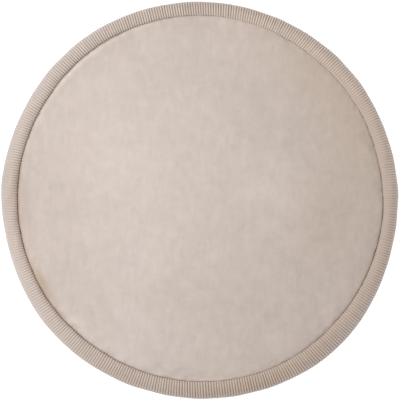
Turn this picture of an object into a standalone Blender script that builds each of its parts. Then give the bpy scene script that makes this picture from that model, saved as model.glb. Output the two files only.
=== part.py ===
"""Round padded play mat: a plush centre inside a stuffed rim of ribbed knit.

Sizes are in metres. The mat lies flat on z = 0 with +Z up. The photograph's right is +X and its top is +Y.
The outline and the seam follow the photograph, in which the mat is taken as about 0.95 m across.
"""

import bmesh
import bpy
import numpy as np

# Seam between the two pieces: a short upright band, which is lower where the crease is dark and deep
SEAM_GAP = 0.00032
SEAM_BAND = 0.0050
SEAM_USUAL_HEIGHT = 0.0270

# Ribs of the knit, raised in the points of the rim's upper side
RIB_COUNT = 460
RIB_RISE = 0.0006
RIB_CROWDING = 0.030

# Rim tube
RIM_USUAL_WIDTH = 0.0370
RIM_HEIGHT = 0.0420
RIM_HEIGHT_PER_WIDTH = 0.22

# Plan of the mat: angle in degrees, radius of the outer edge, radius of the seam, height of the seam
PLAN = (
    (2, 0.4753, 0.4362, 0.0270),
    (14, 0.4729, 0.4337, 0.0290),
    (26, 0.4736, 0.4353, 0.0300),
    (38, 0.4746, 0.4344, 0.0310),
    (48, 0.4743, 0.4331, 0.0315),
    (58, 0.4733, 0.4345, 0.0310),
    (70, 0.4727, 0.4378, 0.0323),
    (82, 0.4738, 0.4391, 0.0330),
    (98, 0.4753, 0.4407, 0.0297),
    (110, 0.4758, 0.4412, 0.0262),
    (122, 0.4777, 0.4416, 0.0227),
    (134, 0.4772, 0.4405, 0.0230),
    (146, 0.4756, 0.4383, 0.0220),
    (158, 0.4751, 0.4376, 0.0192),
    (170, 0.4773, 0.4383, 0.0157),
    (178, 0.4790, 0.4367, 0.0137),
    (186, 0.4745, 0.4374, 0.0153),
    (198, 0.4734, 0.4366, 0.0197),
    (210, 0.4759, 0.4366, 0.0205),
    (222, 0.4764, 0.4348, 0.0215),
    (234, 0.4753, 0.4326, 0.0243),
    (246, 0.4745, 0.4326, 0.0268),
    (258, 0.4745, 0.4334, 0.0280),
    (268, 0.4767, 0.4343, 0.0292),
    (278, 0.4772, 0.4348, 0.0303),
    (290, 0.4797, 0.4365, 0.0300),
    (302, 0.4826, 0.4358, 0.0298),
    (310, 0.4840, 0.4357, 0.0293),
    (318, 0.4828, 0.4345, 0.0285),
    (330, 0.4786, 0.4360, 0.0258),
    (342, 0.4740, 0.4364, 0.0232),
    (354, 0.4731, 0.4375, 0.0250),
)

OUTER_RADIUS = 1
SEAM_RADIUS = 2
SEAM_HEIGHT = 3
PLAN_ROUNDING = (-4.0, -2.0, 0.0, 2.0, 4.0)

# Ribbed upper side of the rim, from the inner shoulder out:
# share of the width, share of the height, share of the ribs' rise, share of the seam's rise and fall
RIM_TOP = (
    (0.07, 0.800, 0.60, 0.55),
    (0.25, 0.950, 1.00, 0.12),
    (0.50, 1.000, 1.00, 0.00),
    (0.80, 0.860, 1.00, 0.00),
    (1.00, 0.465, 0.85, 0.00),
)

# Plain lower side of the rim, from the outer edge in:
# share of the width, share of the height, share of the seam's rise and fall
RIM_UNDER = (
    (0.925, 0.150, 0.00),
    (0.760, 0.000, 0.00),
    (0.290, 0.000, 0.00),
    (0.070, 0.280, 0.40),
)

# Upper side of the padded centre, from the seam in:
# distance inside the seam, share of the climb to the shoulder, share of the seam's puckers
PAD_SHOULDER_HEIGHT = 0.0367
PAD_ROLL = (
    (0.0013, 0.340, 0.70),
    (0.0042, 0.620, 1.00),
    (0.0095, 0.810, 0.90),
    (0.0185, 0.930, 0.50),
    (0.0330, 1.000, 0.15),
)

# The same, further in, where the points are fewer: distance inside the seam, height, share of the waves
PAD_FIELD = (
    (0.0620, 0.0374, 0.80),
    (0.1150, 0.0380, 1.00),
    (0.1900, 0.0385, 0.80),
)
PAD_INNER = (0.3000, 0.0389, 0.40)
PAD_MIDDLE_HEIGHT = 0.0391

# Lower side of the padded centre: distance inside the seam, share of the seam's height
PAD_UNDER = (
    (0.0048, 0.320),
    (0.0165, 0.000),
)

# Puckers of the plush beside the seam: waves round the mat, rise, phase
PUCKERS = (
    (19, 0.00030, 0.4),
    (31, 0.00032, 2.1),
    (43, 0.00030, 4.4),
)

# Strong and weak stretches of the puckers: waves round the mat, share, phase
PUCKER_STRENGTH = (
    (0, 0.75, 0.0),
    (2, 0.45, 0.9),
)

# Slow waves in the filling: waves round the mat, rise, phase. They turn as they run in towards the middle
FILLING_WAVES = (
    (2, 0.00060, 1.0),
    (3, 0.00050, 3.7),
    (5, 0.00030, 5.2),
)

WAVE_TURN_PER_METRE = 9.0

# Lean of the ribs from square: waves round the mat, angle in radians, phase
RIB_LEANS = (
    (3, 0.0045, 5.3),
    (8, 0.0032, 0.4),
)

# Lumps along the rim: waves round the mat, share of the height, phase
RIM_LUMPS = (
    (3, 0.010, 2.2),
    (7, 0.012, 0.3),
    (13, 0.010, 4.9),
    (22, 0.008, 1.4),
)

# Point counts round the mat: ribs take two, the plain parts one for every two ribs
FINE = 2 * RIB_COUNT
PLAIN = RIB_COUNT // 2
FIELD = PLAIN // 2
INNER = FIELD // 5

# A face with more corners than this is the flat base, which isn't shaded smooth
SMOOTH_FACE_CORNERS = 4

# Cloths: colour, roughness, sheen
PLUSH_VELVET = ((0.520, 0.450, 0.400, 1.0), 0.90, 0.50)
RIBBED_KNIT = ((0.500, 0.425, 0.365, 1.0), 0.95, 0.20)


def remove_scene_objects():
    """Empty the scene."""
    for item in list(bpy.data.objects):
        bpy.data.objects.remove(item, do_unlink=True)


def plan_column(angles, column):
    """One column of the plan at these angles in radians, rounded over a few degrees."""
    table = np.array(PLAN)
    degrees = np.degrees(angles)
    total = np.zeros_like(degrees)
    for step in PLAN_ROUNDING:
        total = total + np.interp(degrees + step, table[:, 0], table[:, column], period=360.0)
    return total / len(PLAN_ROUNDING)


def waves(angles, table):
    """Sum of the table's waves at these angles."""
    total = np.zeros_like(angles)
    for count, rise, phase in table:
        total = total + rise * np.cos(count * angles + phase)
    return total


def station_angles(count):
    """Angles of the points round the mat. They crowd together at the photograph's top, as its ribs do."""
    turn = np.arange(count) * 2.0 * np.pi / count
    return turn + RIB_CROWDING * np.cos(turn)


def ring(angles, radii, heights):
    """Points at these angles, radii and heights."""
    radii = np.broadcast_to(radii, angles.shape)
    heights = np.broadcast_to(heights, angles.shape)
    return np.column_stack((radii * np.cos(angles), radii * np.sin(angles), heights))


class Shell:
    """Points and faces of one closed piece, gathered ring by ring."""

    def __init__(self):
        self.points = []
        self.faces = []

    def add(self, points):
        """Add a ring of points and return its numbers."""
        first = len(self.points)
        self.points.extend(points.tolist())
        return list(range(first, first + len(points)))

    def join(self, fine, coarse):
        """Join two rings. The first may have several times as many points as the second."""
        ratio = len(fine) // len(coarse)
        for place, low in enumerate(coarse):
            high = coarse[(place + 1) % len(coarse)]
            first = place * ratio
            run = [fine[(first + step) % len(fine)] for step in range(ratio + 1)]
            half = ratio // 2
            for step in range(half):
                self.faces.append((run[step], run[step + 1], low))
            for step in range(half, ratio):
                self.faces.append((run[step], run[step + 1], high))
            self.faces.append((run[half], high, low))

    def join_alternating(self, outer, inner):
        """Join two rings of ribs with the split of each face turned so that the faces meet on the ribs."""
        count = len(outer)
        for place in range(count):
            after = (place + 1) % count
            if place % 2:
                self.faces.append((outer[place], outer[after], inner[after]))
                self.faces.append((outer[place], inner[after], inner[place]))
            else:
                self.faces.append((outer[place], outer[after], inner[place]))
                self.faces.append((outer[after], inner[after], inner[place]))

    def make(self, name, centre, cloth):
        """Build the object, centred in plan, with its own material."""
        colour, roughness, sheen = cloth
        points = np.array(self.points)
        points[:, :2] -= centre
        mesh = bpy.data.meshes.new(name)
        mesh.from_pydata(points.tolist(), [], self.faces)
        work = bmesh.new()
        work.from_mesh(mesh)
        bmesh.ops.recalc_face_normals(work, faces=work.faces)
        for face in work.faces:
            face.smooth = len(face.verts) <= SMOOTH_FACE_CORNERS
        work.to_mesh(mesh)
        work.free()
        material = bpy.data.materials.new(name)
        material.use_nodes = True
        shader = material.node_tree.nodes["Principled BSDF"]
        shader.inputs["Base Color"].default_value = colour
        shader.inputs["Roughness"].default_value = roughness
        shader.inputs["Sheen Weight"].default_value = sheen
        material.diffuse_color = colour
        mesh.materials.append(material)
        item = bpy.data.objects.new(name, mesh)
        bpy.context.scene.collection.objects.link(item)
        return item


def rim_size(angles):
    """Seam radius, width and height of the rim here, and how far the seam is off its usual height."""
    seam = plan_column(angles, SEAM_RADIUS) + SEAM_GAP / 2.0
    width = plan_column(angles, OUTER_RADIUS) - seam
    height = RIM_HEIGHT + RIM_HEIGHT_PER_WIDTH * (width - RIM_USUAL_WIDTH)
    height = height * (1.0 + waves(angles, RIM_LUMPS))
    return seam, width, height, plan_column(angles, SEAM_HEIGHT) - SEAM_USUAL_HEIGHT


def rib_normal(row):
    """Direction in which a rib stands out of the tube's section at this row: outward, up."""
    before = RIM_TOP[max(row - 1, 0)]
    after = RIM_TOP[min(row + 1, len(RIM_TOP) - 1)]
    run = (after[0] - before[0]) * RIM_USUAL_WIDTH
    rise = (after[1] - before[1]) * RIM_HEIGHT
    length = np.hypot(run, rise)
    return -rise / length, run / length


def add_seam_band(shell, angles, radii):
    """Join and return the upper and lower rings of the seam band."""
    middle = plan_column(angles, SEAM_HEIGHT)
    high = shell.add(ring(angles, radii, middle + SEAM_BAND / 2.0))
    low = shell.add(ring(angles, radii, middle - SEAM_BAND / 2.0))
    shell.join(low, high)
    return high, low


def build_rim():
    """The stuffed tube: ribbed above, plain and flat below, drawn in to the seam band at its inner side."""
    shell = Shell()
    ribs = station_angles(FINE)
    lift = np.where(np.arange(FINE) % 2 == 0, RIB_RISE, -RIB_RISE)
    lean = waves(ribs, RIB_LEANS)
    upper = []
    for row, (out, up, share, tie) in enumerate(RIM_TOP):
        angles = ribs + lean * (out - 0.5)
        seam, width, height, shift = rim_size(angles)
        outward, upward = rib_normal(row)
        radii = seam + out * width + outward * share * lift
        heights = up * height + tie * shift + upward * share * lift
        upper.append(shell.add(ring(angles, radii, heights)))
    for inner, outer in zip(upper, upper[1:]):
        shell.join_alternating(outer, inner)
    plain = station_angles(PLAIN)
    seam, width, height, shift = rim_size(plain)
    band_high, band_low = add_seam_band(shell, plain, seam)
    shell.join(upper[0], band_high)
    last = upper[-1]
    for out, up, tie in RIM_UNDER:
        row = shell.add(ring(plain, seam + out * width, up * height + tie * shift))
        shell.join(last, row)
        last = row
    shell.join(last, band_low)
    return shell


def build_pad():
    """The padded centre: a crown that rolls down to the seam band, and a flat base."""
    shell = Shell()
    plain = station_angles(PLAIN)
    seam = plan_column(plain, SEAM_RADIUS) - SEAM_GAP / 2.0
    seam_height = plan_column(plain, SEAM_HEIGHT)
    climb = PAD_SHOULDER_HEIGHT - seam_height - SEAM_BAND / 2.0
    pucker = waves(plain, PUCKERS) * waves(plain, PUCKER_STRENGTH)
    swell = waves(plain, FILLING_WAVES)
    band_high, band_low = add_seam_band(shell, plain, seam)
    last = band_high
    for inside, share, puckered in PAD_ROLL:
        height = PAD_SHOULDER_HEIGHT - (1.0 - share) * climb
        rise = height + puckered * pucker + (1.0 - puckered) * swell / 2.0
        row = shell.add(ring(plain, seam - inside, rise))
        shell.join(last, row)
        last = row
    for inside, height, share in PAD_FIELD:
        row = shell.add(field_ring(FIELD, inside, height, share))
        shell.join(last, row)
        last = row
    row = shell.add(field_ring(INNER, *PAD_INNER))
    shell.join(last, row)
    middle = shell.add(np.array([[0.0, 0.0, PAD_MIDDLE_HEIGHT]]))[0]
    for place, point in enumerate(row):
        shell.faces.append((point, row[(place + 1) % len(row)], middle))
    last = band_low
    for inside, share in PAD_UNDER:
        row = shell.add(ring(plain, seam - inside, share * seam_height))
        shell.join(last, row)
        last = row
    shell.faces.append(tuple(last))
    return shell


def field_ring(count, inside, height, share):
    """A ring of the padded centre's field with this share of the filling's waves."""
    angles = station_angles(count)
    swell = waves(angles - WAVE_TURN_PER_METRE * inside, FILLING_WAVES)
    return ring(angles, plan_column(angles, SEAM_RADIUS) - inside, height + share * swell)


def main():
    """Build both pieces with the middle of the mat's outline over the origin."""
    remove_scene_objects()
    rim = build_rim()
    pad = build_pad()
    plan = np.array(rim.points)[:, :2]
    centre = (plan.min(axis=0) + plan.max(axis=0)) / 2.0
    pad.make("padded_centre", centre, PLUSH_VELVET)
    rim.make("ribbed_rim", centre, RIBBED_KNIT)


main()
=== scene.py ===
"""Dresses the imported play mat: a plush padded centre inside a stuffed rim of ribbed knit.

The frame's rim gives the plan and the heights of its crown and of the seam. Both soft solids are replaced
by finer surfaces worked out with numpy, each with its own cloth, and the plush then settles over its filling
as Blender's cloth. Everything is in metres in the frame's axes, with +Z up.
"""

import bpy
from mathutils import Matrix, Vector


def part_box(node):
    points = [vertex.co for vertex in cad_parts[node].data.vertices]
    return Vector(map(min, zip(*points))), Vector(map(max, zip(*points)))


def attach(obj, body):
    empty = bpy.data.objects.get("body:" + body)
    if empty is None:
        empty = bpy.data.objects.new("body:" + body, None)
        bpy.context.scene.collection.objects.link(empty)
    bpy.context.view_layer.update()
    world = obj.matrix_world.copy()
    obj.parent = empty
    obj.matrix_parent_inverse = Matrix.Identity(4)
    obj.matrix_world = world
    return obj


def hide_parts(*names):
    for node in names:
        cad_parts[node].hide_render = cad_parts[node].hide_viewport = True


bl_info = {
    "name": "Round padded play mat",
    "version": (1, 0, 0),
    "blender": (4, 5, 0),
    "location": "3D View > Sidebar > Play Mat",
    "description": "Makes the plush centre, the ribbed rim and the studio of a round padded play mat",
    "category": "Object",
}

import math

import bpy
import numpy as np
from bpy.props import FloatProperty, FloatVectorProperty, IntProperty, PointerProperty
from bpy.types import Operator, Panel, PropertyGroup

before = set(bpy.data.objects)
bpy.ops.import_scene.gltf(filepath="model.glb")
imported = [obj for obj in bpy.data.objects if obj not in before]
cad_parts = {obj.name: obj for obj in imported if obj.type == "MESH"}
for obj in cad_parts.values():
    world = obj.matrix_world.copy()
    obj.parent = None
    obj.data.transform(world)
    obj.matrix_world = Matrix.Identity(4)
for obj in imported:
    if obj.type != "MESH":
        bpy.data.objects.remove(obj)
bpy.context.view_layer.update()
BODY = "root"
PAD_NODE = "padded_centre"
RIM_NODE = "ribbed_rim"
MAT_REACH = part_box(RIM_NODE)[1].x

# The frame's rim is read in this many steps round the mat. Points within this distance of a step's nearest,
# furthest or highest point count with it
PLAN_STEPS = 120
PLAN_NEAR = 0.0015

# The seam is an upright band of this height, whose middle rises and falls round the mat. At the band's top
# the plush stands this far off the rim, and by this share further on the open side and nearer on the other.
# At the band's foot the plush is sewn this far into the rim
SEAM_BAND = 0.0050
SEAM_OPENING = 0.00042
OPENING_SWING = 0.45
OPEN_SIDE = math.radians(190.0)
SEWN_INTO_RIM = 0.0003

# Closed section of the stuffed rim, from the top of the seam band over the crown and back under:
# share of the rim's width out from the seam, share of its height, how far the ribs stand out there,
# and how far the row follows the seam's rise and fall. The seam's own rows lie about its usual height
USUAL_SEAM_SHARE = 0.475
RIM_SECTION = (
    (0.000, 0.530, 0.30, 1.00),
    (0.012, 0.640, 0.60, 0.72),
    (0.065, 0.790, 0.90, 0.42),
    (0.170, 0.915, 1.00, 0.13),
    (0.320, 0.985, 1.00, 0.00),
    (0.500, 1.000, 1.00, 0.00),
    (0.670, 0.965, 1.00, 0.00),
    (0.825, 0.860, 0.92, 0.00),
    (0.945, 0.690, 0.75, 0.00),
    (0.998, 0.470, 0.60, 0.00),
    (0.975, 0.260, 0.60, 0.00),
    (0.900, 0.090, 0.50, 0.00),
    (0.780, 0.008, 0.15, 0.00),
    (0.600, 0.000, 0.00, 0.00),
    (0.420, 0.000, 0.00, 0.00),
    (0.270, 0.008, 0.15, 0.00),
    (0.130, 0.100, 0.60, 0.20),
    (0.040, 0.250, 0.80, 0.60),
    (0.000, 0.420, 0.30, 1.00),
)

# Points worked out from each row of the section to the next
SECTION_FINENESS = 24

# A rib is a cosine's arch raised to this power. The ribs are deepest at this angle round the mat and across
# from it, and a little deeper on the second angle's side. Their depth share stays within these limits
# The same depth share also scales the knit's painted shade between rib tops and grooves
RIDGE_POWER = 0.9
DEEP_RIBS = math.radians(95.0)
DEEPER_SIDE = math.radians(50.0)
RIB_DEPTH_LIMITS = (0.15, 2.0)

# Length of knit round the tube, for the count of stitches
TUBE_GIRTH = 0.125

# Narrowest and widest, and shortest and longest, of the rim's gathers and of the plush's puckers
GATHER_WIDTHS = (0.002, 0.006)
GATHER_LENGTHS = (0.006, 0.016)
PUCKER_WIDTHS = (0.002, 0.0045)
PUCKER_LENGTHS = (0.005, 0.017)

# Depth share of the shallowest and deepest of both, which is raised to the first power, so that most are
# shallow. Each fades with the second power of the distance from the seam
PULL_DEPTHS = (0.2, 1.0)
PULL_DEPTH_POWER = 1.5
PULL_FADE_POWER = 1.5

# A wave of unevenness slants by up to this many radians for each unit across the cloth. The rim's width is
# the first number of units for its lumps, and a metre of plush is the second number for its ripples
WAVE_SLANT = 3.0
LUMP_UNITS = 4.0
RIPPLE_UNITS = 60.0

# The plush's rows crowd towards the seam by this power. The roll rises by this power of the distance. The
# roll under the mat has this run and power, and is flat from this distance inside the seam
ROW_CROWDING = 1.4
ROLL_POWER = 0.62
UNDER_RUN = 0.0052
UNDER_POWER = 1.1
FLAT_FROM = 0.030

# Distances inside the seam: the stitches hold the plush down over the first, ripples fade over the second,
# with this power of it, and the filling's waves fade out over the third
STITCH_HOLD = 0.0012
RIPPLE_REACH = 0.022
RIPPLE_POWER = 1.3
WAVE_FADE = 0.020

# Slow waves of the filling: how fast each turns for a metre towards +X and towards +Y, where it starts, and
# its share of the rise
FILLING_WAVES = (
    (9.0, 4.0, 0.5, 0.40),
    (-11.0, 5.0, 2.0, 0.40),
    (21.0, 17.0, 0.0, 0.28),
    (-14.0, 33.0, 1.0, 0.20),
)

# The settling cloth is sewn down over the first distance inside the seam, cut larger over the second, with
# this power of it, and held this firmly by the filling beyond the third. Its weights are laid in this many
# steps. No move counts as shorter than the last length
SEWN_REACH = 0.0015
SLACK_REACH = 0.015
SLACK_POWER = 1.5
FILLING_REACH = 0.040
FILLING_HOLD = 0.2
WEIGHT_STEPS = 32
SHORTEST_MOVE = 1e-9

# Places where the plush is painted lighter or darker: partly patches where the pile was brushed another way,
# partly painted shade and painted highlight on the roll beside the seam, and painted warm shade in the
# seam's
# fold. Columns: angle in degrees round the mat, distance inside the seam, reach round the mat, reach across,
# change of shade, change of warmth. Those by the seam come first
NAP_AND_PAINTED_SHADE_PLACES = (
    (15, 0.010, 0.080, 0.012, -0.050, 0.000),
    (85, 0.008, 0.140, 0.009, 0.050, 0.000),
    (108, 0.004, 0.080, 0.005, 0.070, 0.000),
    (133, 0.006, 0.150, 0.006, 0.230, 0.000),
    (140, 0.014, 0.160, 0.012, -0.060, 0.000),
    (160, 0.002, 0.060, 0.004, 0.150, 0.000),
    (182, 0.022, 0.110, 0.017, -0.110, 0.015),
    (183, 0.006, 0.120, 0.010, -0.020, 0.055),
    (185, 0.000, 0.500, 0.0025, 0.000, 0.120),
    (192, 0.002, 0.035, 0.004, 0.110, 0.000),
    (205, 0.012, 0.100, 0.014, 0.020, 0.020),
    (208, 0.012, 0.045, 0.008, -0.230, 0.110),
    (217, 0.005, 0.040, 0.006, -0.090, 0.030),
    (225, 0.018, 0.070, 0.020, 0.100, -0.010),
    (243, 0.014, 0.120, 0.022, 0.120, -0.020),
    (270, 0.004, 0.120, 0.006, 0.150, -0.010),
    (285, 0.014, 0.120, 0.020, 0.050, 0.000),
    (310, 0.003, 0.070, 0.004, -0.080, 0.000),
    (320, 0.022, 0.110, 0.018, 0.060, 0.000),
    (10, 0.280, 0.160, 0.090, 0.080, -0.010),
    (35, 0.030, 0.300, 0.070, -0.035, 0.055),
    (75, 0.060, 0.160, 0.070, 0.070, -0.010),
    (175, 0.080, 0.200, 0.090, -0.090, 0.010),
    (225, 0.240, 0.200, 0.090, 0.045, -0.015),
    (250, 0.080, 0.180, 0.070, 0.100, -0.030),
    (290, 0.060, 0.200, 0.060, 0.040, -0.010),
    (355, 0.140, 0.170, 0.070, -0.060, 0.035),
)

# The same for the knit, with the distance out from the seam: painted shade and painted highlight round the
# rim where the light falls on it, and painted warm shade in the seam's fold
KNIT_PAINTED_SHADE_PLACES = (
    (42, 0.006, 0.220, 0.004, -0.070, 0.000),
    (48, 0.012, 0.360, 0.009, 0.035, 0.000),
    (50, 0.015, 0.300, 0.040, 0.100, 0.030),
    (94, 0.017, 0.008, 0.012, -0.090, 0.030),
    (108, 0.036, 0.130, 0.012, 0.050, 0.000),
    (150, 0.037, 9.000, 0.009, 0.110, -0.110),
    (162, 0.036, 0.280, 0.010, -0.200, 0.020),
    (176, 0.020, 0.110, 0.040, -0.070, 0.020),
    (185, 0.000, 0.450, 0.003, 0.000, 0.070),
    (212, 0.015, 0.140, 0.040, 0.080, -0.010),
    (216, 0.003, 0.040, 0.004, -0.080, 0.000),
    (240, 0.034, 0.150, 0.008, 0.000, 0.070),
    (285, 0.036, 0.200, 0.010, -0.090, 0.060),
    (288, 0.018, 0.220, 0.018, -0.060, 0.040),
    (330, 0.014, 0.800, 0.018, -0.050, 0.050),
)

# What one unit of warmth does to red, green and blue
WARMTH = (0.65, 0.0, -0.9)

# How the pile lies is a sum of these shares of patches, blotches, strokes and tufts. It goes from dark to
# light over this range of the sum
PATCH_SHARE = 0.20
BLOTCH_SHARE = 0.45
STROKE_SHARE = 0.30
TUFT_SHARE = 0.05
PILE_RANGE = (0.35, 0.65)

# Dents in the pile, painted as soft darker spots of painted shade with no pit in the surface: cells to the
# metre, shares of a cell from its middle at which a dent ends and is full, and the range of a cell's luck
# over which it has one
DENT_CELLS = 14.0
DENT_END = 0.085
DENT_FULL = 0.020
DENT_LUCK = (0.70, 1.00)

# Knit: slant of the stitches from groove to rib, power of the rib's arch, and shares in the shade of the
# arch, loops, loose fibre and slow fading. The arch and the loops are painted shade and painted highlight
# of the ribs and stitches; the fibre and fading vary the knit's tone. The ribs' painted contrast grows and
# shrinks about the mean shade
STITCH_SLANT = 0.55
ARCH_POWER = 0.8
ARCH_SHARE = 0.88
LOOP_SHARE = 0.12
FIBRE_SHARE = 0.30
FADING_SHARE = 0.24
KNIT_MEAN_SHADE = 0.66

# The floor's corners, and how far it lies under the mat. Width of the camera's sensor in millimetres
FLOOR_POINTS = 96
FLOOR_DROP = 0.0003
SENSOR_WIDTH = 36.0


class PadSettings(PropertyGroup):
    """Sizes and colours of the plush centre."""

    grid: IntProperty(
        name="Grid",
        description="Cells across the cloth as it settles. The finished plush has twice as many",
        default=108, min=20, max=110,
    )
    settle_frames: IntProperty(
        name="Settling",
        description="Frames for which the cloth settles over the filling",
        default=20, min=2,
    )
    filling_pressure: FloatProperty(
        name="Filling pressure",
        description="How hard the filling presses the cloth outwards",
        default=0.3,
    )
    seam_slack: FloatProperty(
        name="Slack",
        description="Share by which the cloth is cut larger beside the seam",
        default=0.006, min=0.0,
    )
    settle_limit: FloatProperty(
        name="Furthest move",
        description="No point moves further than this as the cloth settles",
        default=0.0015, unit="LENGTH",
    )
    shoulder: FloatProperty(
        name="Shoulder",
        description="Height that the plush reaches as it rolls up from the seam",
        default=0.0367, unit="LENGTH",
    )
    roll_run: FloatProperty(
        name="Roll run",
        description="Distance inside the seam over which most of the roll is climbed",
        default=0.0036, unit="LENGTH",
    )
    roll_swing: FloatProperty(
        name="Roll swing",
        description="Share by which the roll is wider at one side and narrower at the other",
        default=0.45, min=0.0, max=0.9,
    )
    roll_wide_side: FloatProperty(
        name="Roll's wide side",
        description="Angle round the mat at which the roll is widest",
        default=math.radians(-30.0), subtype="ANGLE",
    )
    crown_rise: FloatProperty(
        name="Crown rise",
        description="Further rise towards the middle",
        default=0.0026, unit="LENGTH",
    )
    crown_run: FloatProperty(
        name="Crown run",
        description="Distance over which the crown rises",
        default=0.150, unit="LENGTH",
    )
    wave_rise: FloatProperty(
        name="Filling waves",
        description="Rise of the slow waves in the filling",
        default=0.0009, unit="LENGTH",
    )
    ripple_rise: FloatProperty(
        name="Ripples",
        description="Rise of the small ripples beside the seam",
        default=0.00035, unit="LENGTH",
    )
    pucker_count: IntProperty(
        name="Puckers",
        description="Puckers of the plush beside the seam",
        default=170, min=0,
    )
    pucker_depth: FloatProperty(
        name="Pucker depth",
        description="Depth of the deepest pucker",
        default=0.0017, unit="LENGTH",
    )
    # The dents' darkness is painted shade; the plush's surface has no pit there
    dent_shade: FloatProperty(
        name="Dents",
        description="How much darker the small dents in the pile are",
        default=0.07, min=0.0, max=0.5,
    )
    pile_light: FloatVectorProperty(
        name="Pile, light",
        description="Colour of the pile brushed one way",
        default=(0.544, 0.463, 0.415), subtype="COLOR", min=0.0, max=1.0,
    )
    pile_dark: FloatVectorProperty(
        name="Pile, dark",
        description="Colour of the pile brushed the other way",
        default=(0.469, 0.396, 0.353), subtype="COLOR", min=0.0, max=1.0,
    )


class RimSettings(PropertyGroup):
    """Sizes and colours of the ribbed rim."""

    rib_count: IntProperty(name="Ribs", description="Ribs round the mat", default=460, min=40)
    steps_per_rib: IntProperty(
        name="Steps a rib",
        description="Points across one rib",
        default=6, min=4, max=12,
    )
    girth_steps: IntProperty(name="Girth steps", description="Points round the tube", default=36, min=16)
    rib_rise: FloatProperty(
        name="Rib rise",
        description="Height of a rib above and below the cloth",
        default=0.0010, unit="LENGTH",
    )
    # Rib swing, tilt and side also set how strongly the ribs' painted shade shows round the mat
    rib_swing: FloatProperty(
        name="Rib swing",
        description="Share by which the ribs are deeper at the top and bottom than at the sides",
        default=0.50, min=0.0, max=0.9,
    )
    rib_tilt: FloatProperty(
        name="Rib tilt",
        description="Share by which the ribs are deeper on the tube's right flank than on its left",
        default=0.50, min=0.0, max=0.9,
    )
    rib_side: FloatProperty(
        name="Rib side",
        description="Share by which the ribs are deeper at the mat's upper right",
        default=0.10, min=0.0, max=0.5,
    )
    rib_unevenness: FloatProperty(
        name="Uneven ribs",
        description="Share by which one rib is higher than the next",
        default=0.18, min=0.0,
    )
    crowding: FloatProperty(
        name="Crowding",
        description="How far the ribs crowd towards the photograph's top, as an angle",
        default=0.030, subtype="ANGLE",
    )
    rib_wander: FloatProperty(
        name="Rib wander",
        description="Share of a rib's width by which the ribs stray from even steps",
        default=0.045,
    )
    lean: FloatProperty(
        name="Lean",
        description="Angle by which the ribs lean from square",
        default=0.0040, subtype="ANGLE",
    )
    lump_rise: FloatProperty(
        name="Stuffing lumps",
        description="Rise of the lumps in the stuffing",
        default=0.00045, unit="LENGTH",
    )
    gather_count: IntProperty(
        name="Gathers",
        description="Gathers of the rim at the seam",
        default=130, min=0,
    )
    gather_depth: FloatProperty(
        name="Gather depth",
        description="Depth of the deepest gather",
        default=0.0016, unit="LENGTH",
    )
    stitch: FloatProperty(
        name="Stitch",
        description="Height of one knitted stitch along a rib",
        default=0.0034, unit="LENGTH",
    )
    rib_colour: FloatVectorProperty(
        name="Rib",
        description="Colour on top of the ribs",
        default=(0.571, 0.480, 0.427), subtype="COLOR", min=0.0, max=1.0,
    )
    # The groove's colour is painted shade between the ribs
    painted_groove_shade: FloatVectorProperty(
        name="Groove",
        description="Colour between the ribs",
        default=(0.320, 0.253, 0.216), subtype="COLOR", min=0.0, max=1.0,
    )


class StageSettings(PropertyGroup):
    """Floor, light and camera."""

    floor_reach: FloatProperty(
        name="Floor reach",
        description="Radius of the floor",
        default=6.0, unit="LENGTH",
    )
    floor_colour: FloatVectorProperty(
        name="Floor",
        description="Colour of the floor",
        default=(0.93, 0.93, 0.93), subtype="COLOR", min=0.0, max=1.0,
    )
    floor_glow: FloatProperty(name="Floor glow", description="Light given off by the floor", default=0.60)
    window_colour: FloatVectorProperty(
        name="Daylight",
        description="Colour of both soft lights",
        default=(0.87, 0.93, 1.0), subtype="COLOR", min=0.0, max=1.0,
    )
    window_power: FloatProperty(
        name="Window",
        description="Power of the large soft light beyond the mat's left",
        default=5.4, unit="POWER",
    )
    window_place: FloatVectorProperty(
        name="Window place",
        description="Middle of the large soft light",
        default=(-1.25, 0.36, 0.55), subtype="TRANSLATION", unit="LENGTH",
    )
    window_size: FloatProperty(
        name="Window size",
        description="Width of the large soft light",
        default=1.1, unit="LENGTH",
    )
    lamp_power: FloatProperty(
        name="Lamp",
        description="Power of the small soft light over the mat's left",
        default=4.2, unit="POWER",
    )
    lamp_place: FloatVectorProperty(
        name="Lamp place",
        description="Middle of the small soft light",
        default=(-0.30, 0.10, 0.80), subtype="TRANSLATION", unit="LENGTH",
    )
    lamp_size: FloatProperty(
        name="Lamp size",
        description="Width of the small soft light",
        default=0.6, unit="LENGTH",
    )
    room_light: FloatProperty(
        name="Room light",
        description="Strength of the light from all round",
        default=0.735,
    )
    room_colour: FloatVectorProperty(
        name="Room colour",
        description="Colour of the light from all round",
        default=(1.0, 0.975, 0.93), subtype="COLOR", min=0.0, max=1.0,
    )
    camera_height: FloatProperty(
        name="Camera height",
        description="Height of the camera over the floor",
        default=3.2, unit="LENGTH",
    )
    picture_reach: FloatProperty(
        name="Picture reach",
        description="Distance from the picture's middle to its edge, at the rim's widest level",
        default=0.4792, unit="LENGTH",
    )
    aim: FloatVectorProperty(
        name="Aim",
        description="Point that the picture's middle falls on",
        default=(0.0011, 0.0005, 0.0195), subtype="TRANSLATION", unit="LENGTH",
    )


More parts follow.
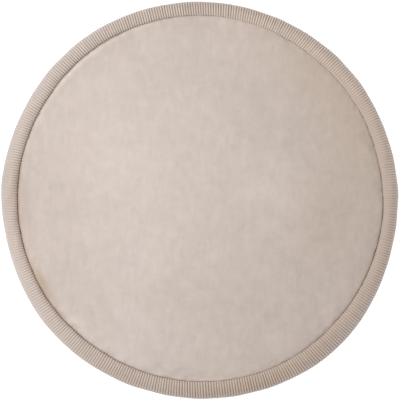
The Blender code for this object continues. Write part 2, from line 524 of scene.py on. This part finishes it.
def frame_plan(turns):
    """Seam radius, outer radius, crown height and seam height of the frame's rim at these angles.

    The rim's points are sorted by angle into even steps. In each step the points nearest the middle are the
    seam's, those furthest out are the outer ribs', and the highest are the crown's. Each group's mean is
    rounded over three steps and read between steps in proportion.
    """
    steps = PLAN_STEPS
    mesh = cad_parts[RIM_NODE].data
    points = np.empty(len(mesh.vertices) * 3)
    mesh.vertices.foreach_get("co", points)
    points = points.reshape(-1, 3)
    radii = np.hypot(points[:, 0], points[:, 1])
    heights = points[:, 2]
    angles = np.arctan2(points[:, 1], points[:, 0]) % (2.0 * np.pi)
    step = np.minimum((angles * steps / (2.0 * np.pi)).astype(int), steps - 1)
    inner = np.full(steps, np.inf)
    outer = np.zeros(steps)
    crown = np.zeros(steps)
    np.minimum.at(inner, step, radii)
    np.maximum.at(outer, step, radii)
    np.maximum.at(crown, step, heights)
    at_seam = radii < inner[step] + PLAN_NEAR
    at_edge = radii > outer[step] - PLAN_NEAR
    at_crown = heights > crown[step] - PLAN_NEAR
    middles = (np.arange(steps) + 0.5) * 2.0 * np.pi / steps
    found = []
    for values, chosen in ((radii, at_seam), (radii, at_edge), (heights, at_crown), (heights, at_seam)):
        total = np.bincount(step[chosen], values[chosen], steps)
        column = total / np.bincount(step[chosen], minlength=steps)
        rounded = (np.roll(column, 1) + 2.0 * column + np.roll(column, -1)) / 4.0
        found.append(np.interp(turns, middles, rounded, period=2.0 * np.pi))
    return found


def even_noise(turns, across, low, high, waves, seed):
    """Smooth unevenness round the mat: the sum of cosine waves with whole counts between low and high round
    the mat, each slanted a little across the cloth, over the size that gives it a mean square of 1."""
    luck = np.random.RandomState(seed)
    total = np.zeros(np.broadcast(turns, across).shape)
    for count in luck.randint(low, high + 1, waves):
        slant = luck.uniform(-WAVE_SLANT, WAVE_SLANT)
        start = luck.uniform(0.0, 2.0 * np.pi)
        total = total + np.cos(count * turns + slant * across + start)
    return total * math.sqrt(2.0 / waves)


def seam_pulls(turns, inside, count, widths, lengths, seed):
    """Depth share of the pulls at the seam: each is a bell along the seam's line, a few millimetres wide,
    that fades with distance from the seam. Where two meet the deeper one counts. Their places, sizes and
    depths are seeded."""
    luck = np.random.RandomState(seed)
    places = np.sort(luck.uniform(0.0, 2.0 * np.pi, count))
    total = np.zeros(np.broadcast(turns, inside).shape)
    for place in places:
        width = luck.uniform(*widths) / MAT_REACH
        length = luck.uniform(*lengths)
        depth = luck.uniform(*PULL_DEPTHS) ** PULL_DEPTH_POWER
        off = (turns - place + np.pi) % (2.0 * np.pi) - np.pi
        bell = np.exp(-((off / width) ** 2) - (inside / length) ** PULL_FADE_POWER)
        total = np.maximum(total, depth * bell)
    return total


def place_tint(places, turns, distance):
    """What the cloth's red, green and blue are multiplied by: one, and a bell of shade and warmth over each
    of these places, round the mat and across. Where a bell darkens it paints shade and where it lightens it
    paints highlight; on the plush some bells are patches of nap instead."""
    total = np.ones((*np.broadcast(turns, distance).shape, 3))
    for degrees, middle, around, across, change, warmth in places:
        off = (turns - math.radians(degrees) + np.pi) % (2.0 * np.pi) - np.pi
        bell = np.exp(-((off * MAT_REACH / around) ** 2) - ((distance - middle) / across) ** 2)
        total = total + bell[..., None] * (change + warmth * np.array(WARMTH))
    return total


def lay_numbers(item, name, values):
    """Keep one number for each point of the object, for its material."""
    item.data.attributes.new(name, "FLOAT", "POINT").data.foreach_set("value", values.astype(np.float32))


def lay_tints(item, values):
    """Keep the tint of each point of the object, for its material."""
    target = item.data.attributes.new("tint", "FLOAT_VECTOR", "POINT").data
    target.foreach_set("vector", values.astype(np.float32).reshape(-1))


def lay_weights(item, name, weights):
    """A vertex group of the object with these weights, rounded to even steps."""
    group = item.vertex_groups.new(name=name)
    level = np.round(weights * WEIGHT_STEPS).astype(int)
    for step in range(1, WEIGHT_STEPS + 1):
        group.add(np.flatnonzero(level == step).tolist(), step / WEIGHT_STEPS, "REPLACE")


def new_mesh_object(name, points, faces, smooth=True):
    """An object at the origin with these points and faces."""
    mesh = bpy.data.meshes.new(name)
    mesh.from_pydata(points, [], faces)
    mesh.polygons.foreach_set("use_smooth", np.full(len(mesh.polygons), smooth))
    mesh.update()
    item = bpy.data.objects.new(name, mesh)
    bpy.context.scene.collection.objects.link(item)
    return item


def ring_cells(around, across):
    """Faces of a grid that closes both ways: around points one way and across points the other."""
    first, second = np.meshgrid(np.arange(around), np.arange(across), indexing="ij")
    ahead = (first + 1) % around
    over = (second + 1) % across
    cells = (first * across + second, ahead * across + second, ahead * across + over, first * across + over)
    return np.stack(cells, axis=-1).reshape(-1, 4)


def smooth_section(steps):
    """The rim's section at even distances along its length, with the table's four columns.

    A closed curve goes through the table's rows: between two rows it is the usual cubic whose slope at a row
    is half the step from the row before to the row after.
    """
    rows = np.array(RIM_SECTION)
    share = np.arange(SECTION_FINENESS)[None, :, None] / SECTION_FINENESS
    before = np.roll(rows, 1, axis=0)[:, None, :]
    here = rows[:, None, :]
    after = np.roll(rows, -1, axis=0)[:, None, :]
    later = np.roll(rows, -2, axis=0)[:, None, :]
    curve = 0.5 * (
        2.0 * here
        + (after - before) * share
        + (2.0 * before - 5.0 * here + 4.0 * after - later) * share**2
        + (3.0 * here - before - 3.0 * after + later) * share**3
    )
    curve = curve.reshape(-1, 4)
    step = np.hypot(*(np.roll(curve, -1, axis=0) - curve)[:, :2].T)
    along = np.concatenate(([0.0], np.cumsum(step)))
    wanted = np.arange(steps) * along[-1] / steps
    closed = np.vstack((curve, curve[:1]))
    section = np.column_stack([np.interp(wanted, along, closed[:, column]) for column in range(4)])
    section[:, 1] = np.maximum(section[:, 1], 0.0)
    section[:, 2] = np.clip(section[:, 2], 0.0, 1.0)
    return section


# The depth found here also scales the painted shade between rib tops and grooves in the knit's colour, so it
# paints the ribs with more or less contrast round the mat as the light falls on them
def rib_depth_and_painted_shade(angles, out, settings):
    """Depth of the ribs, about 1: the knit is drawn flatter at the mat's two sides than at the photograph's
    top and bottom, flatter on the flank that faces the photograph's left than on the other, and a little
    deeper at the upper right. Each is a cosine round the mat, and the sum stays within its limits."""
    swing = settings.rib_swing * np.cos(2.0 * (angles - DEEP_RIBS))
    tilt = settings.rib_tilt * (2.0 * out - 1.0) * np.cos(angles)
    side = settings.rib_side * np.cos(angles - DEEPER_SIDE)
    return np.clip(1.0 + swing + tilt + side, *RIB_DEPTH_LIMITS)


def rim_surface(settings):
    """Points of the stuffed rim on a grid of rib steps by girth steps.

    At each angle the section is stretched from the seam to the outer edge and from the floor to the crown.
    It is then pushed out along its own normal by the ribs, which are rounded ridges with narrow grooves, and
    by the lumps of the stuffing, and drawn in at the seam's pulls.
    """
    around = settings.rib_count * settings.steps_per_rib
    turns = np.arange(around) * 2.0 * np.pi / around
    phase = np.arange(around) / settings.steps_per_rib
    base = turns + settings.crowding * np.cos(turns)
    wander = settings.rib_wander * 2.0 * np.pi / settings.rib_count
    base = base + wander * even_noise(turns, 0.0, low=24, high=60, waves=9, seed=3)
    section = smooth_section(settings.girth_steps)
    out, up, rib_share, follow = (section[:, column][None, :] for column in range(4))
    lean = settings.lean * even_noise(turns, 0.0, low=2, high=14, waves=7, seed=5)[:, None]
    angles = base[:, None] + lean * (out - 0.5)
    seam, outer, crown, seam_height = frame_plan(angles)
    width = outer - seam
    up = up + follow * (seam_height / crown - USUAL_SEAM_SHARE)
    normal_out = -(np.roll(up, -1, axis=1) - np.roll(up, 1, axis=1)) * crown
    normal_up = (np.roll(out, -1, axis=1) - np.roll(out, 1, axis=1)) * width
    length = np.hypot(normal_out, normal_up)
    ridge = 2.0 * np.abs(np.cos(np.pi * phase)) ** RIDGE_POWER - 1.0
    uneven = 1.0 + settings.rib_unevenness * even_noise(turns, 0.0, low=40, high=190, waves=12, seed=8)
    depth = rib_depth_and_painted_shade(angles, out, settings)
    push = settings.rib_rise * rib_share * depth * (ridge * uneven)[:, None]
    lumps = even_noise(angles, LUMP_UNITS * out, low=7, high=40, waves=14, seed=11)
    reach = np.hypot(out * width, np.maximum(up * crown - seam_height - SEAM_BAND / 2.0, 0.0))
    pulls = seam_pulls(angles, reach, settings.gather_count, GATHER_WIDTHS, GATHER_LENGTHS, seed=21)
    push = push + rib_share * (settings.lump_rise * lumps - settings.gather_depth * pulls)
    radii = seam + out * width + push * normal_out / length
    heights = np.maximum(up * crown + push * normal_up / length, 0.0)
    points = np.stack((radii * np.cos(angles), radii * np.sin(angles), heights), axis=-1)
    # The knit's tint holds painted shade and painted highlight round the rim
    return points.reshape(-1, 3), depth.reshape(-1), place_tint(KNIT_PAINTED_SHADE_PLACES, angles, out * width), around


def lay_rib_map(item, around, across, settings):
    """UV map of the knit: across the picture one unit is one rib, up it one unit is one stitch."""
    mesh = item.data
    first, second = np.meshgrid(np.arange(around), np.arange(across), indexing="ij")
    ribs = np.stack([first, first + 1, first + 1, first], axis=-1) / settings.steps_per_rib
    stitches = round(TUBE_GIRTH / settings.stitch)
    rows = np.stack([second, second, second + 1, second + 1], axis=-1) * stitches / across
    values = np.stack((ribs, rows), axis=-1).reshape(-1)
    mesh.uv_layers.new(name="knit").data.foreach_set("uv", values.astype(np.float32))


def finer(values):
    """The grid with a new point between each two, on a cubic through the two points on either side."""
    for _ in range(2):
        ends = np.concatenate((2.0 * values[:1] - values[1:2], values, 2.0 * values[-1:] - values[-2:-1]))
        middles = (9.0 * (ends[1:-2] + ends[2:-1]) - ends[:-3] - ends[3:]) / 16.0
        made = np.empty((2 * len(values) - 1, *values.shape[1:]))
        made[0::2] = values
        made[1::2] = middles
        values = np.swapaxes(made, 0, 1)
    return values


def settled_move(points, inside, settings):
    """How far each point of the upper disc moves as Blender's cloth settles over the filling.

    The cloth is held at the seam and loosely held over the filling. It is cut a little too large beside the
    seam, so it gathers there. The filling presses it outwards. No move is longer than the limit.
    """
    scene = bpy.context.scene
    flat = inside.reshape(-1)
    sewn = np.exp(-((flat / SEWN_REACH) ** 2))
    filled = FILLING_HOLD * (1.0 - np.exp(-((flat / FILLING_REACH) ** 2)))
    item = new_mesh_object("settling_cloth", points.reshape(-1, 3), disc_cells(settings.grid))
    lay_weights(item, "held", np.maximum(sewn, filled))
    lay_weights(item, "tight", 1.0 - np.exp(-((flat / SLACK_REACH) ** SLACK_POWER)))
    modifier = item.modifiers.new("settling", "CLOTH")
    cloth = modifier.settings
    cloth.effector_weights.gravity = 0.0
    cloth.use_pressure = True
    cloth.uniform_pressure_force = settings.filling_pressure
    cloth.vertex_group_mass = "held"
    cloth.vertex_group_shrink = "tight"
    cloth.shrink_min = -settings.seam_slack
    modifier.collision_settings.use_collision = False
    modifier.point_cache.frame_end = settings.settle_frames
    for number in range(1, settings.settle_frames + 1):
        scene.frame_set(number)
    settled = np.empty(points.size)
    item.evaluated_get(bpy.context.evaluated_depsgraph_get()).data.vertices.foreach_get("co", settled)
    bpy.data.objects.remove(item)
    scene.frame_set(1)
    move = settled.reshape(points.shape) - points
    length = np.linalg.norm(move, axis=-1, keepdims=True)
    return move * np.minimum(1.0, settings.settle_limit / np.maximum(length, SHORTEST_MOVE))


def disc_layout(cells):
    """A square grid laid on a disc: distance share from the middle and angle of each point.

    A point's share is the larger of its two distances from the middle of the square. Its angle runs evenly
    along the side of the square that it is on.
    """
    side = np.linspace(-1.0, 1.0, cells + 1)
    along, across = np.meshgrid(side, side, indexing="xy")
    share = np.maximum(np.abs(along), np.abs(across))
    safe = np.where(share > 0.0, share, 1.0)
    sideways = np.abs(along) >= np.abs(across)
    turn = np.where(
        sideways,
        np.pi / 4.0 * across / safe * np.sign(along) + np.where(along < 0.0, np.pi, 0.0),
        np.pi / 2.0 * np.sign(across) - np.pi / 4.0 * along / safe * np.sign(across),
    )
    return share, turn


def square_edge(cells):
    """Numbers of the grid's edge points in order round the square, turning left."""
    side = cells + 1
    bottom = np.arange(cells)
    right = bottom * side + cells
    top = cells * side + cells - bottom
    left = (cells - bottom) * side
    return np.concatenate((bottom, right, top, left))


def pad_height(turns, inside, band_top, settings):
    """Height of the plush at this place: the roll climbs steeply from the seam band to the shoulder and
    levels off, one less a falling exponential, and is wider at one side of the mat. The crown adds a slow
    rise towards the middle."""
    run = settings.roll_run * (1.0 + settings.roll_swing * np.cos(turns - settings.roll_wide_side))
    roll = (settings.shoulder - band_top) * (1.0 - np.exp(-((inside / run) ** ROLL_POWER)))
    crown = settings.crown_rise * (1.0 - np.exp(-inside / settings.crown_run))
    return band_top + roll + crown


def seam_opening(turns):
    """How far the plush stands off the rim at the top of the seam band."""
    return SEAM_OPENING * (1.0 + OPENING_SWING * np.cos(turns - OPEN_SIDE))


def filling_waves(east, north):
    """Slow waves of the filling, about 1 high: the sum of the table's plane waves."""
    total = np.zeros(east.shape)
    for towards_x, towards_y, start, share in FILLING_WAVES:
        total = total + share * np.cos(towards_x * east + towards_y * north + start)
    return total


def seam_relief(turns, inside, settings):
    """Height of the small ripples beside the seam, less the depth of the puckers that its stitches pull in.
    Both are nothing at the seam itself."""
    ripples = even_noise(turns, RIPPLE_UNITS * inside, low=30, high=110, waves=14, seed=31)
    ripples = ripples * np.exp(-((inside / RIPPLE_REACH) ** RIPPLE_POWER))
    pulls = seam_pulls(turns, inside, settings.pucker_count, PUCKER_WIDTHS, PUCKER_LENGTHS, seed=41)
    free = 1.0 - np.exp(-inside / STITCH_HOLD)
    return free * (settings.ripple_rise * ripples - settings.pucker_depth * pulls)


def pad_surface(cells, settings):
    """Upper and lower discs of the padded centre on the same grid, which end in the seam band, with the
    distance inside the seam and the tint of the pile, which holds patches of nap and painted shade and
    painted highlight beside the seam.

    The distance inside the seam grows with a power of the distance share, so that the rows crowd at the
    seam. The upper disc has the roll, the crown, slow waves and the relief beside the seam. The lower disc
    rolls in to the flat base.
    """
    share, turns = disc_layout(cells)
    seam, _, _, seam_height = frame_plan(turns)
    opening = seam_opening(turns)
    inside = (seam - opening) * (1.0 - share) ** ROW_CROWDING
    radii = seam - opening - inside
    east = radii * np.cos(turns)
    north = radii * np.sin(turns)
    waves = (1.0 - np.exp(-inside / WAVE_FADE)) * filling_waves(east, north)
    height = pad_height(turns, inside, seam_height + SEAM_BAND / 2.0, settings)
    height = height + settings.wave_rise * waves + seam_relief(turns, inside, settings)
    upper = np.stack((east, north, height), axis=-1)
    under = (seam_height - SEAM_BAND / 2.0) * np.exp(-((inside / UNDER_RUN) ** UNDER_POWER))
    under = np.where(inside > FLAT_FROM, 0.0, under)
    sewn = radii + (opening + SEWN_INTO_RIM) * share
    lower = np.stack((sewn * np.cos(turns), sewn * np.sin(turns), under), axis=-1)
    return upper, lower, inside, place_tint(NAP_AND_PAINTED_SHADE_PLACES, turns, inside)


def disc_cells(cells):
    """Faces of one disc, which look up."""
    row, column = np.meshgrid(np.arange(cells), np.arange(cells), indexing="ij")
    side = cells + 1
    return (row * side + column).reshape(-1, 1) + np.array([0, 1, side + 1, side])


def pad_cells(cells):
    """Faces of the padded centre: both discs, and the seam band between their edges."""
    side = cells + 1
    upper = disc_cells(cells)
    lower = upper[:, ::-1] + side * side
    edge = square_edge(cells)
    ahead = np.roll(edge, -1)
    band = np.column_stack((edge + side * side, ahead + side * side, ahead, edge))
    return np.vstack((upper, lower, band))


class Cloth:
    """Builds one material, node by node."""

    # Sockets of the mix node that hold its share and its colours. Several have the same name
    MIX_SHARE = 0
    MIX_FIRST = 6
    MIX_SECOND = 7
    MIX_COLOUR = 2

    def __init__(self, name):
        self.material = bpy.data.materials.new(name)
        self.material.use_nodes = True
        self.tree = self.material.node_tree
        self.shader = self.tree.nodes["Principled BSDF"]

    def node(self, kind, **settings):
        """A new node with these settings."""
        made = self.tree.nodes.new(kind)
        for key, value in settings.items():
            setattr(made, key, value)
        return made

    def link(self, source, target):
        """Join an output to an input, or give the input a plain value."""
        if isinstance(source, bpy.types.NodeSocket):
            self.tree.links.new(source, target)
        else:
            target.default_value = source

    def maths(self, operation, first, second=0.0, third=0.0):
        """One arithmetic step."""
        made = self.node("ShaderNodeMath", operation=operation)
        for place, value in enumerate((first, second, third)):
            self.link(value, made.inputs[place])
        return made.outputs[0]

    def place(self, scale=(1.0, 1.0, 1.0), turn=0.0):
        """The piece's own coordinates in metres, scaled and turned about the upright."""
        source = self.node("ShaderNodeTexCoord")
        mapping = self.node("ShaderNodeMapping")
        mapping.inputs["Scale"].default_value = scale
        mapping.inputs["Rotation"].default_value = (0.0, 0.0, turn)
        self.link(source.outputs["Object"], mapping.inputs["Vector"])
        return mapping.outputs["Vector"]

    def noise(self, vector, scale, detail=2.0, roughness=0.5, warp=0.0):
        """Noise between 0 and 1 with its mean at one half."""
        made = self.node("ShaderNodeTexNoise")
        self.link(vector, made.inputs["Vector"])
        made.inputs["Scale"].default_value = scale
        made.inputs["Detail"].default_value = detail
        made.inputs["Roughness"].default_value = roughness
        made.inputs["Distortion"].default_value = warp
        return made.outputs[0]

    def value(self, name):
        """The number kept for each point under this name."""
        return self.node("ShaderNodeAttribute", attribute_name=name).outputs["Fac"]

    def tinted(self, colour):
        """The colour times the tint kept for each point."""
        made = self.node("ShaderNodeVectorMath", operation="MULTIPLY")
        self.link(colour, made.inputs[0])
        self.link(self.node("ShaderNodeAttribute", attribute_name="tint").outputs["Vector"], made.inputs[1])
        return made.outputs[0]

    def shaded(self, colour, share):
        """The colour times a number."""
        made = self.node("ShaderNodeVectorMath", operation="SCALE")
        self.link(colour, made.inputs[0])
        self.link(share, made.inputs["Scale"])
        return made.outputs[0]

    def dents(self):
        """Sparse soft spots about a centimetre across: 1 in the middle of a spot and 0 away from it."""
        cells = self.node("ShaderNodeTexVoronoi", voronoi_dimensions="2D")
        self.link(self.place(), cells.inputs["Vector"])
        cells.inputs["Scale"].default_value = DENT_CELLS
        near = self.spread(cells.outputs["Distance"], DENT_END, DENT_FULL)
        parts = self.node("ShaderNodeSeparateXYZ")
        self.link(cells.outputs["Color"], parts.inputs[0])
        chosen = self.spread(parts.outputs["X"], *DENT_LUCK)
        return self.maths("MULTIPLY", near, chosen)

    def spread(self, value, low, high):
        """The value stretched so that low becomes 0 and high becomes 1."""
        made = self.node("ShaderNodeMapRange")
        self.link(value, made.inputs["Value"])
        made.inputs["From Min"].default_value = low
        made.inputs["From Max"].default_value = high
        return made.outputs[0]

    def blend(self, share, first, second):
        """A colour between two plain colours."""
        made = self.node("ShaderNodeMix", data_type="RGBA")
        self.link(share, made.inputs[self.MIX_SHARE])
        made.inputs[self.MIX_FIRST].default_value = (*first, 1.0)
        made.inputs[self.MIX_SECOND].default_value = (*second, 1.0)
        return made.outputs[self.MIX_COLOUR]

    def bump(self, height, distance, strength, below=None):
        """Relief of this depth in metres, on top of another relief if one is given."""
        made = self.node("ShaderNodeBump")
        made.inputs["Strength"].default_value = strength
        made.inputs["Distance"].default_value = distance
        self.link(height, made.inputs["Height"])
        if below is not None:
            self.link(below, made.inputs["Normal"])
        return made.outputs[0]

    def set(self, **values):
        """Plain values on the shader's own sockets."""
        for name, value in values.items():
            self.shader.inputs[name.replace("_", " ")].default_value = value

    def finish(self, colour, relief, plain):
        """The material with this relief, this colour times the tint, and a plain colour for the viewport."""
        self.link(self.tinted(colour), self.shader.inputs["Base Color"])
        self.link(relief, self.shader.inputs["Normal"])
        self.material.diffuse_color = (*plain, 1.0)
        return self.material


def plush_cloth(settings):
    """Short plush: patches and smaller blotches of lighter and darker pile, faint strokes, a fine grain of
    tufts, and a few dents painted as darker spots of painted shade."""
    cloth = Cloth("plush_velvet")
    stretched = cloth.place(scale=(1.0, 0.30, 1.0), turn=0.12)
    patches = cloth.noise(cloth.place(), scale=7.0, detail=3.0, warp=0.6)
    blotches = cloth.noise(cloth.place(), scale=42.0, detail=3.0, roughness=0.6, warp=0.4)
    strokes = cloth.noise(stretched, scale=95.0, detail=3.0, roughness=0.55, warp=0.3)
    tufts = cloth.noise(cloth.place(), scale=850.0, roughness=0.6)
    brushed = cloth.maths("MULTIPLY", tufts, TUFT_SHARE)
    for grain, share in ((patches, PATCH_SHARE), (blotches, BLOTCH_SHARE), (strokes, STROKE_SHARE)):
        brushed = cloth.maths("MULTIPLY_ADD", grain, share, brushed)
    colour = cloth.blend(cloth.spread(brushed, *PILE_RANGE), settings.pile_dark, settings.pile_light)
    # Painted shade of the dents
    dent_painted_shade = cloth.maths("MULTIPLY_ADD", cloth.dents(), -settings.dent_shade, 1.0)
    relief = cloth.bump(strokes, distance=0.0009, strength=0.35)
    relief = cloth.bump(tufts, distance=0.0005, strength=0.55, below=relief)
    cloth.set(Roughness=0.92, Specular_IOR_Level=0.15, Sheen_Weight=0.35, Sheen_Roughness=0.45)
    cloth.set(Sheen_Tint=(1.0, 0.95, 0.90, 1.0))
    return cloth.finish(cloth.shaded(colour, dent_painted_shade), relief, settings.pile_light)


def knit_cloth(settings):
    """Ribbed knit on the map of ribs and stitches: grooves between ribs are darker, each rib has a row of
    slanted stitches up each half, and loose fibre and slow fading blur both. The darker grooves, lighter rib
    tops and the stitches' light and dark are painted shade and painted highlight of the knit's relief, and
    the colour is multiplied by the tint of painted shade and highlight round the rim."""
    cloth = Cloth("ribbed_knit")
    chart = cloth.node("ShaderNodeUVMap", uv_map="knit")
    parts = cloth.node("ShaderNodeSeparateXYZ")
    cloth.link(chart.outputs["UV"], parts.inputs[0])
    wave = cloth.maths("COSINE", cloth.maths("MULTIPLY", parts.outputs["X"], math.pi))
    ridge = cloth.maths("ABSOLUTE", wave)
    slant = cloth.maths("MULTIPLY", cloth.maths("SUBTRACT", 1.0, ridge), STITCH_SLANT)
    row = cloth.maths("ADD", parts.outputs["Y"], slant)
    stitches = cloth.maths("SINE", cloth.maths("MULTIPLY", row, 2.0 * math.pi))
    loops = cloth.maths("MULTIPLY_ADD", stitches, 0.5, 0.5)
    fibre = cloth.noise(cloth.place(), scale=420.0, detail=3.0, roughness=0.6)
    fading = cloth.noise(cloth.place(), scale=16.0)
    arch = cloth.maths("MULTIPLY", cloth.maths("POWER", ridge, ARCH_POWER), ARCH_SHARE)
    shade = cloth.maths("MULTIPLY_ADD", loops, LOOP_SHARE, arch)
    for grain, share in ((fibre, FIBRE_SHARE), (fading, FADING_SHARE)):
        shade = cloth.maths("ADD", shade, cloth.maths("MULTIPLY_ADD", grain, share, -share / 2.0))
    # The ribs' painted shade is scaled round the mat by their depth share: more contrast where the light
    # falls across the ribs, less where it falls along them
    off = cloth.maths("SUBTRACT", shade, KNIT_MEAN_SHADE)
    shade = cloth.maths("ADD", cloth.maths("MULTIPLY", off, cloth.value("rib_depth_and_painted_shade")), KNIT_MEAN_SHADE)
    colour = cloth.blend(cloth.spread(shade, 0.0, 1.0), settings.painted_groove_shade, settings.rib_colour)
    relief = cloth.bump(loops, distance=0.0005, strength=0.45)
    relief = cloth.bump(fibre, distance=0.0006, strength=0.5, below=relief)
    cloth.set(Roughness=0.95, Specular_IOR_Level=0.15, Sheen_Weight=0.20, Sheen_Roughness=0.50)
    cloth.set(Sheen_Tint=(1.0, 0.96, 0.92, 1.0))
    return cloth.finish(colour, relief, settings.rib_colour)


def floor_finish(settings):
    """Plain pale floor that gives off a little light, as a white studio sweep does."""
    cloth = Cloth("studio_floor")
    cloth.set(Base_Color=(*settings.floor_colour, 1.0), Roughness=0.9, Specular_IOR_Level=0.0)
    cloth.set(Emission_Color=(1.0, 1.0, 1.0, 1.0), Emission_Strength=settings.floor_glow)
    return cloth.material


class PLAYMAT_OT_padded_centre(Operator):
    """Make the plush centre, which replaces the frame's plain one"""

    bl_idname = "playmat.padded_centre"
    bl_label = "Make plush centre"

    def execute(self, context):
        settings = context.scene.playmat_pad
        cells = 2 * settings.grid
        upper, lower, _, tint = pad_surface(cells, settings)
        start, _, inside, _ = pad_surface(settings.grid, settings)
        upper = upper + finer(settled_move(start, inside, settings))
        points = np.vstack((upper.reshape(-1, 3), lower.reshape(-1, 3)))
        item = new_mesh_object("plush_centre", points, pad_cells(cells))
        lay_tints(item, np.vstack((tint.reshape(-1, 3), np.ones((tint.size // 3, 3)))))
        item.data.materials.append(plush_cloth(settings))
        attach(item, BODY)
        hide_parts(PAD_NODE)
        return {"FINISHED"}


class PLAYMAT_OT_ribbed_rim(Operator):
    """Make the stuffed ribbed rim, which replaces the frame's coarse one"""

    bl_idname = "playmat.ribbed_rim"
    bl_label = "Make ribbed rim"

    def execute(self, context):
        settings = context.scene.playmat_rim
        points, depth, tint, around = rim_surface(settings)
        item = new_mesh_object("knit_rim", points, ring_cells(around, settings.girth_steps))
        lay_numbers(item, "rib_depth_and_painted_shade", depth)
        lay_tints(item, tint)
        lay_rib_map(item, around, settings.girth_steps, settings)
        item.data.flip_normals()
        item.data.materials.append(knit_cloth(settings))
        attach(item, BODY)
        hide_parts(RIM_NODE)
        return {"FINISHED"}


class PLAYMAT_OT_stage(Operator):
    """Make the floor, the soft light and the camera over the mat"""

    bl_idname = "playmat.stage"
    bl_label = "Make stage"

    def execute(self, context):
        settings = context.scene.playmat_stage
        self.floor(settings)
        self.light(context.scene, settings)
        self.camera(context.scene, settings)
        return {"FINISHED"}

    def floor(self, settings):
        """A round floor just under the mat."""
        turns = np.arange(FLOOR_POINTS) * 2.0 * np.pi / FLOOR_POINTS
        reach = settings.floor_reach
        heights = np.full(FLOOR_POINTS, -FLOOR_DROP)
        points = np.column_stack((reach * np.cos(turns), reach * np.sin(turns), heights))
        item = new_mesh_object("floor", points, [tuple(range(FLOOR_POINTS))], smooth=False)
        item.data.materials.append(floor_finish(settings))

    def light(self, scene, settings):
        """Two soft lights on the left that look at the mat, and even light from all round."""
        soft_lights = (
            ("window", settings.window_power, settings.window_place, settings.window_size),
            ("lamp", settings.lamp_power, settings.lamp_place, settings.lamp_size),
        )
        for name, power, place, size in soft_lights:
            light = bpy.data.lights.new(name, "AREA")
            light.shape = "DISK"
            light.size = size
            light.energy = power
            light.color = settings.window_colour
            item = bpy.data.objects.new(name, light)
            item.location = place
            item.rotation_euler = (-place).to_track_quat("-Z", "Y").to_euler()
            scene.collection.objects.link(item)
        world = bpy.data.worlds.new("room")
        world.use_nodes = True
        sky = world.node_tree.nodes["Background"]
        sky.inputs["Color"].default_value = (*settings.room_colour, 1.0)
        sky.inputs["Strength"].default_value = settings.room_light
        scene.world = world
        scene.view_settings.view_transform = "Standard"

    def camera(self, scene, settings):
        """A camera straight above the mat that looks down, with the photograph's top towards +Y."""
        lens = bpy.data.cameras.new("camera")
        lens.sensor_width = SENSOR_WIDTH
        distance = settings.camera_height - settings.aim[2]
        lens.lens = SENSOR_WIDTH / 2.0 * distance / settings.picture_reach
        item = bpy.data.objects.new("camera", lens)
        item.location = (settings.aim[0], settings.aim[1], settings.camera_height)
        scene.collection.objects.link(item)
        scene.camera = item


class PLAYMAT_PT_sidebar(Panel):
    """The play mat's pieces and sizes"""

    bl_idname = "PLAYMAT_PT_sidebar"
    bl_label = "Play Mat"
    bl_space_type = "VIEW_3D"
    bl_region_type = "UI"
    bl_category = "Play Mat"

    def draw(self, context):
        for step, group in STEPS:
            box = self.layout.box()
            box.operator(step.bl_idname)
            settings = getattr(context.scene, group)
            for name in settings.__annotations__:
                box.prop(settings, name)


SETTINGS = (("playmat_pad", PadSettings), ("playmat_rim", RimSettings), ("playmat_stage", StageSettings))
STEPS = (
    (PLAYMAT_OT_padded_centre, "playmat_pad"),
    (PLAYMAT_OT_ribbed_rim, "playmat_rim"),
    (PLAYMAT_OT_stage, "playmat_stage"),
)


def register():
    """Add the settings, the operators and the panel."""
    for name, group in SETTINGS:
        bpy.utils.register_class(group)
        setattr(bpy.types.Scene, name, PointerProperty(type=group))
    for step, _ in STEPS:
        bpy.utils.register_class(step)
    bpy.utils.register_class(PLAYMAT_PT_sidebar)


def unregister():
    """Take out the panel, the operators and the settings."""
    bpy.utils.unregister_class(PLAYMAT_PT_sidebar)
    for step, _ in reversed(STEPS):
        bpy.utils.unregister_class(step)
    for name, group in reversed(SETTINGS):
        delattr(bpy.types.Scene, name)
        bpy.utils.unregister_class(group)


def main():
    """Make the mat and its stage."""
    register()
    bpy.ops.playmat.padded_centre()
    bpy.ops.playmat.ribbed_rim()
    bpy.ops.playmat.stage()
    bpy.context.view_layer.update()


if __name__ == "__main__":
    main()
